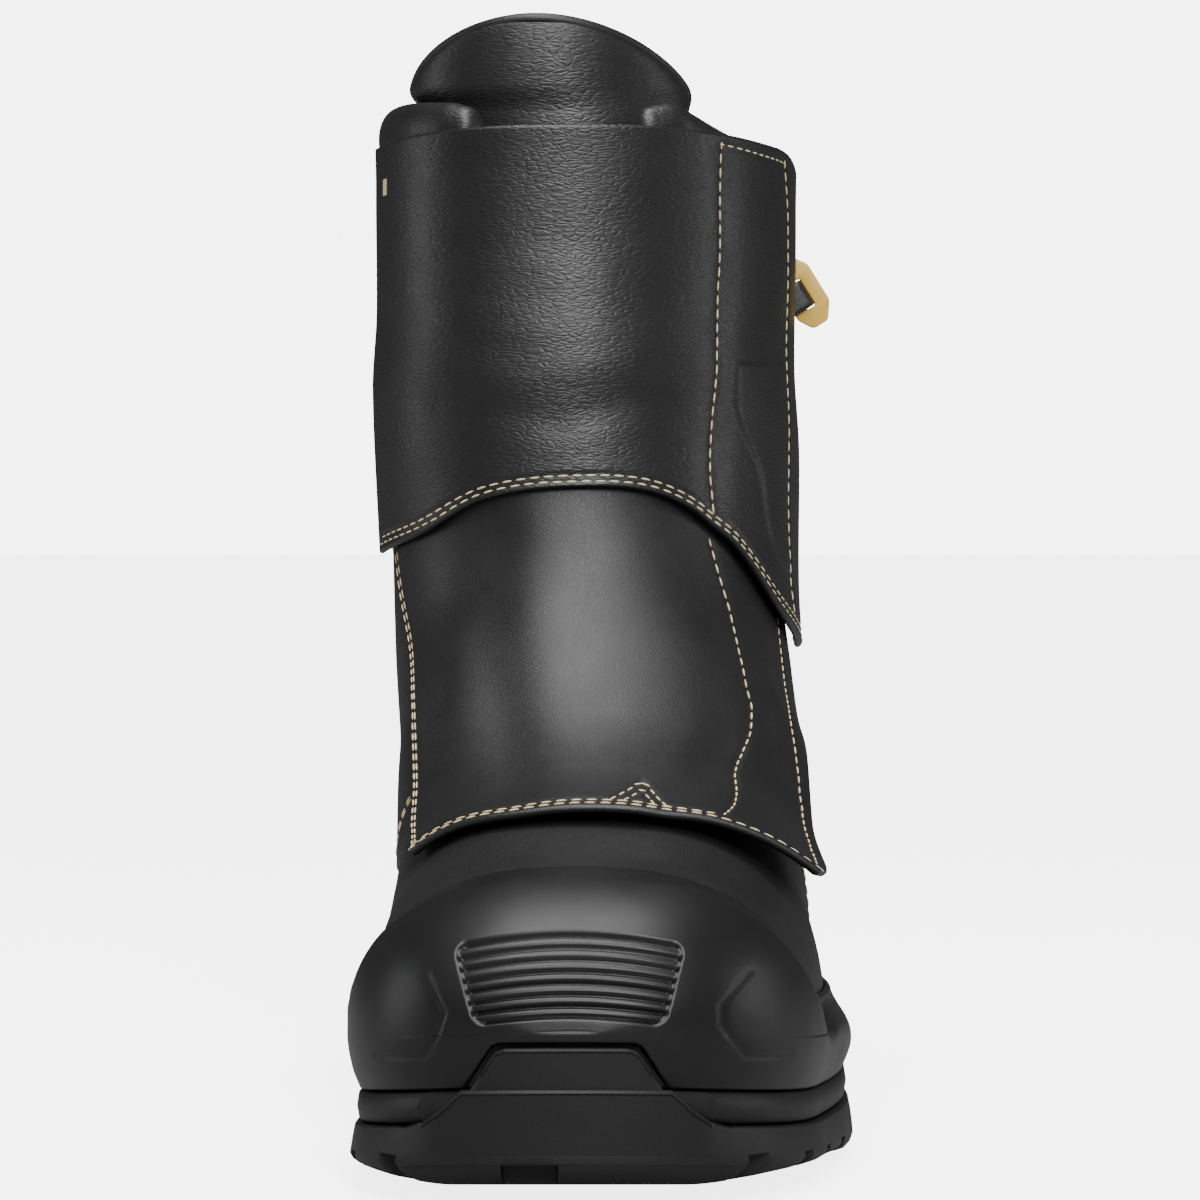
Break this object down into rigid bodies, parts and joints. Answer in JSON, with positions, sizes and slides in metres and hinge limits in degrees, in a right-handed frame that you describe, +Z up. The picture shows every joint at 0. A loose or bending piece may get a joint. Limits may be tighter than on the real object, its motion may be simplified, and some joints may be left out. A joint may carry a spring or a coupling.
{
  "type": "foundry boot",
  "caption": "Tall foundry boot with a lugged sole, ribbed toe guard, overlapping instep and shaft flaps, padded collar and a domed tongue.",
  "frame": {"origin": "on the floor, under the middle of the whole boot", "axes": "+Z up, the toe points to -Y, the outer side of the foot is +X"},
  "size_m": [0.123, 0.3134, 0.286],
  "materials": {
    "outsole_rubber": "matt moulded rubber",
    "moulded_sole": "satin moulded polyurethane",
    "moulded_guard": "satin moulded polyurethane",
    "footbed": "matt knit over foam",
    "upper_leather": "fine grain, low sheen",
    "padded_leather": "soft fine grain, low sheen",
    "flap_leather": "pebbled grain, low sheen",
    "yellow_plastic": "moulded, semi-gloss"
  },
  "bodies": {
    "root": {"outsole": "outsole_rubber", "midsole": "moulded_sole", "toe_guard": "moulded_guard", "insole": "footbed", "upper": "upper_leather", "tongue": "padded_leather", "collar": "padded_leather", "instep_flap": "flap_leather", "shaft_flap": "flap_leather", "pull_tab": "yellow_plastic", "pull_strap": "flap_leather"}
  },
  "joints": []
}
